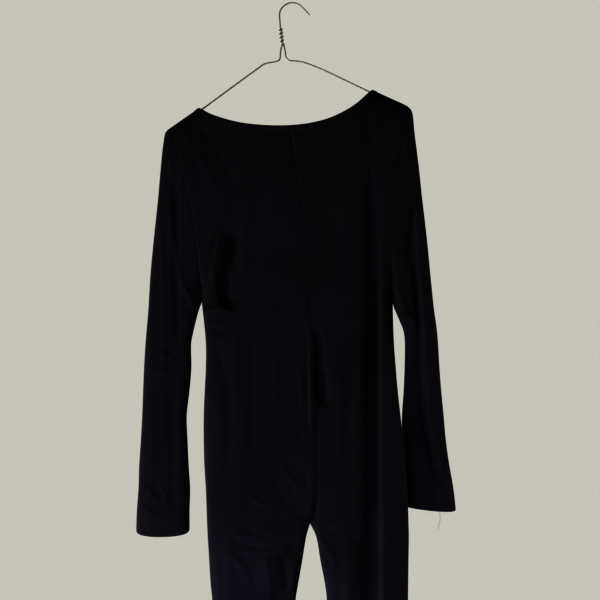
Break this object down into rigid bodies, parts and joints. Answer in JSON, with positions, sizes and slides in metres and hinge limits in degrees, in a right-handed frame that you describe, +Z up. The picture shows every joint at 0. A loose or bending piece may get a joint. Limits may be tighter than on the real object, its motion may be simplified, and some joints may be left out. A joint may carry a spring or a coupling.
{
  "type": "jumpsuit on wire hanger",
  "caption": "Long-sleeved stretch-jersey jumpsuit with a wide boat neck, hanging nearly flat on a thin wire hanger.",
  "frame": {"origin": "inside of the hook's crown, where the nail carries the hanger", "axes": "+Z up, against gravity; +Y from the garment's front to its back; +X to the viewer's right as the front is looked at"},
  "size_m": [0.5301, 0.0558, 1.6183],
  "materials": {
    "jersey": "matt black fine jersey knit",
    "binding": "matt black jersey binding, two layers",
    "wire": "dark lacquered steel wire"
  },
  "bodies": {
    "root": {"front_left_chest": "jersey", "front_left_hip": "jersey", "front_left_leg": "jersey", "front_right_chest": "jersey", "front_right_hip": "jersey", "front_right_leg": "jersey", "back_left_chest": "jersey", "back_left_hip": "jersey", "back_left_leg": "jersey", "back_right_chest": "jersey", "back_right_hip": "jersey", "back_right_leg": "jersey", "sleeve_left_upper": "jersey", "sleeve_left_lower": "jersey", "sleeve_right_upper": "jersey", "sleeve_right_lower": "jersey", "neck_binding": "binding", "hanger_hook": "wire", "hanger_frame": "wire"}
  },
  "joints": []
}
